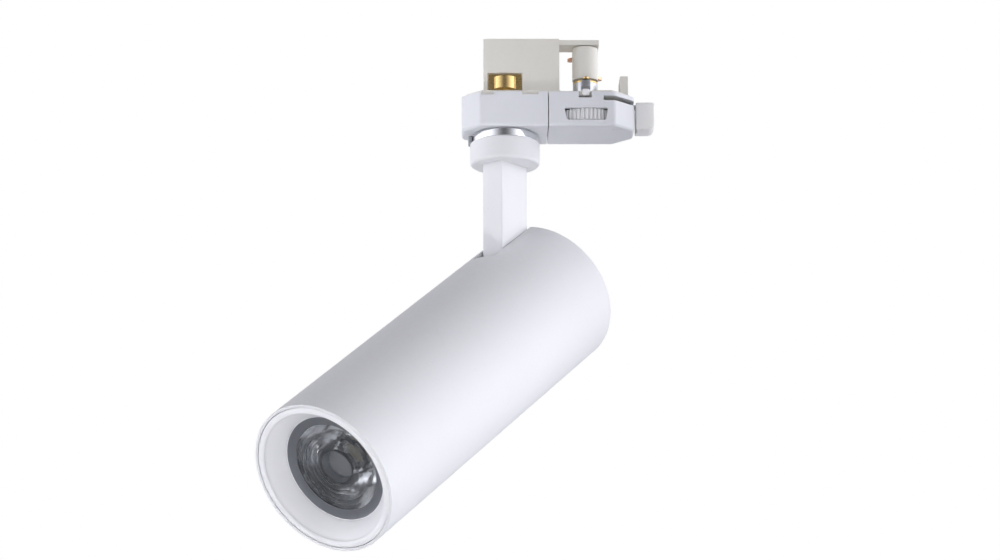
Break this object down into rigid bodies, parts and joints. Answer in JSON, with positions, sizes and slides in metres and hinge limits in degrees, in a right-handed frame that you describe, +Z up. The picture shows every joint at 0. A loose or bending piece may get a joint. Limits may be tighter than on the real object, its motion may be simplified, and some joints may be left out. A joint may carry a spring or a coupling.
{
  "type": "track spotlight",
  "caption": "Cylindrical track spotlight: plug-in adapter with circuit wheel and locking lever, swivel collar, flat stem and tilting tubular head with recessed lens.",
  "frame": {"origin": "on the pan axis, in the plane where the adapter seats against the track", "axes": "+Z up into the track, +X along the track towards the lever end, -Y to the front"},
  "size_m": [0.1538, 0.1492, 0.2177],
  "materials": {
    "cover_white": "fine moulded texture, white",
    "chassis_nylon": "moulded nylon, off-white",
    "wheel_white": "moulded, white",
    "tab_plastic": "moulded, slightly translucent warm white",
    "powder_white": "fine matt white powder coat on aluminium",
    "cap_white": "moulded, satin white",
    "polished_metal": "turned and polished",
    "zinc_steel": "zinc plated",
    "plated_nipple": "nickel plated brass",
    "contact_brass": "stamped",
    "contact_copper": "stamped copper alloy",
    "grey_plastic": "moulded grey",
    "dark_plastic": "moulded black",
    "washer_black": "acetal",
    "lead_sheath": "insulated copper lead",
    "board_green": "circuit board",
    "board_parts": "electronic parts",
    "bare_aluminium": "bare extrusion",
    "thermal_grey": "thermal pad",
    "ceramic": "ceramic board",
    "phosphor": "phosphor",
    "lens_clear": "clear moulded optic"
  },
  "bodies": {
    "adapter": {"cover_lamp_end": "cover_white", "cover_lever_end": "cover_white", "adapter_chassis": "chassis_nylon", "chassis_screws": "zinc_steel", "earth_contacts": "contact_brass", "terminal_block": "chassis_nylon", "terminal_screws": "zinc_steel", "adapter_leads": "lead_sheath", "bearing_ring": "polished_metal", "stop_block": "grey_plastic", "catch_spring": "zinc_steel"},
    "catch": {"catch_plunger": "tab_plastic"},
    "circuit_selector": {"selector_wheel": "wheel_white", "selector_rotor": "chassis_nylon", "phase_contacts": "contact_copper"},
    "lock_lever": {"lever_tab": "tab_plastic", "lock_cam": "zinc_steel", "neutral_contact": "contact_brass"},
    "swivel": {"collar": "powder_white", "stem": "powder_white", "stem_screws": "zinc_steel", "stem_leads": "lead_sheath", "hollow_nipple": "plated_nipple", "nipple_nut": "plated_nipple", "friction_washer": "washer_black", "stop_washer": "zinc_steel"},
    "head": {"housing_tube": "powder_white", "rear_cap": "cap_white", "rear_cap_screws": "zinc_steel", "tilt_bracket": "zinc_steel", "bracket_screws": "zinc_steel", "pivot_bolt": "zinc_steel", "pivot_nut": "zinc_steel", "pivot_washers": "washer_black", "gear_tray": "zinc_steel", "tray_screws": "zinc_steel", "driver_case": "dark_plastic", "driver_lid": "dark_plastic", "driver_board": "board_green", "driver_parts": "board_parts", "supply_leads": "lead_sheath", "led_leads": "lead_sheath", "heat_sink": "bare_aluminium", "thermal_pad": "thermal_grey", "led_board": "ceramic", "led_emitter": "phosphor", "led_holder": "cap_white", "holder_screws": "zinc_steel", "lens": "lens_clear", "lens_cup": "dark_plastic", "lens_ring": "grey_plastic", "front_baffle": "cap_white", "baffle_clips": "zinc_steel"}
  },
  "joints": [
    {"name": "pan", "type": "hinge", "parent": "adapter", "child": "swivel", "pos_m": [0, 0, -0.0192], "axis": [0, 0, 1], "range_deg": [-170, 170]},
    {"name": "tilt", "type": "hinge", "parent": "swivel", "child": "head", "pos_m": [0, 0, -0.074], "axis": [0.7716, -0.6361, 0], "range_deg": [-35, 55]},
    {"name": "circuit_wheel", "type": "hinge", "parent": "adapter", "child": "circuit_selector", "pos_m": [0.0326, 0, -0.009], "axis": [0, 0, 1], "range_deg": [-90, 45]},
    {"name": "locking_lever", "type": "hinge", "parent": "adapter", "child": "lock_lever", "pos_m": [0.0326, 0, -0.0037], "axis": [0, 0, 1], "range_deg": [-56, 0]},
    {"name": "catch_press", "type": "slide", "parent": "adapter", "child": "catch", "axis": [0, 0, 1], "range_m": [-0.0008, 0], "stiffness_N_per_m": 200, "springref_m": 0.0005, "deforming": ["catch_spring"]}
  ]
}
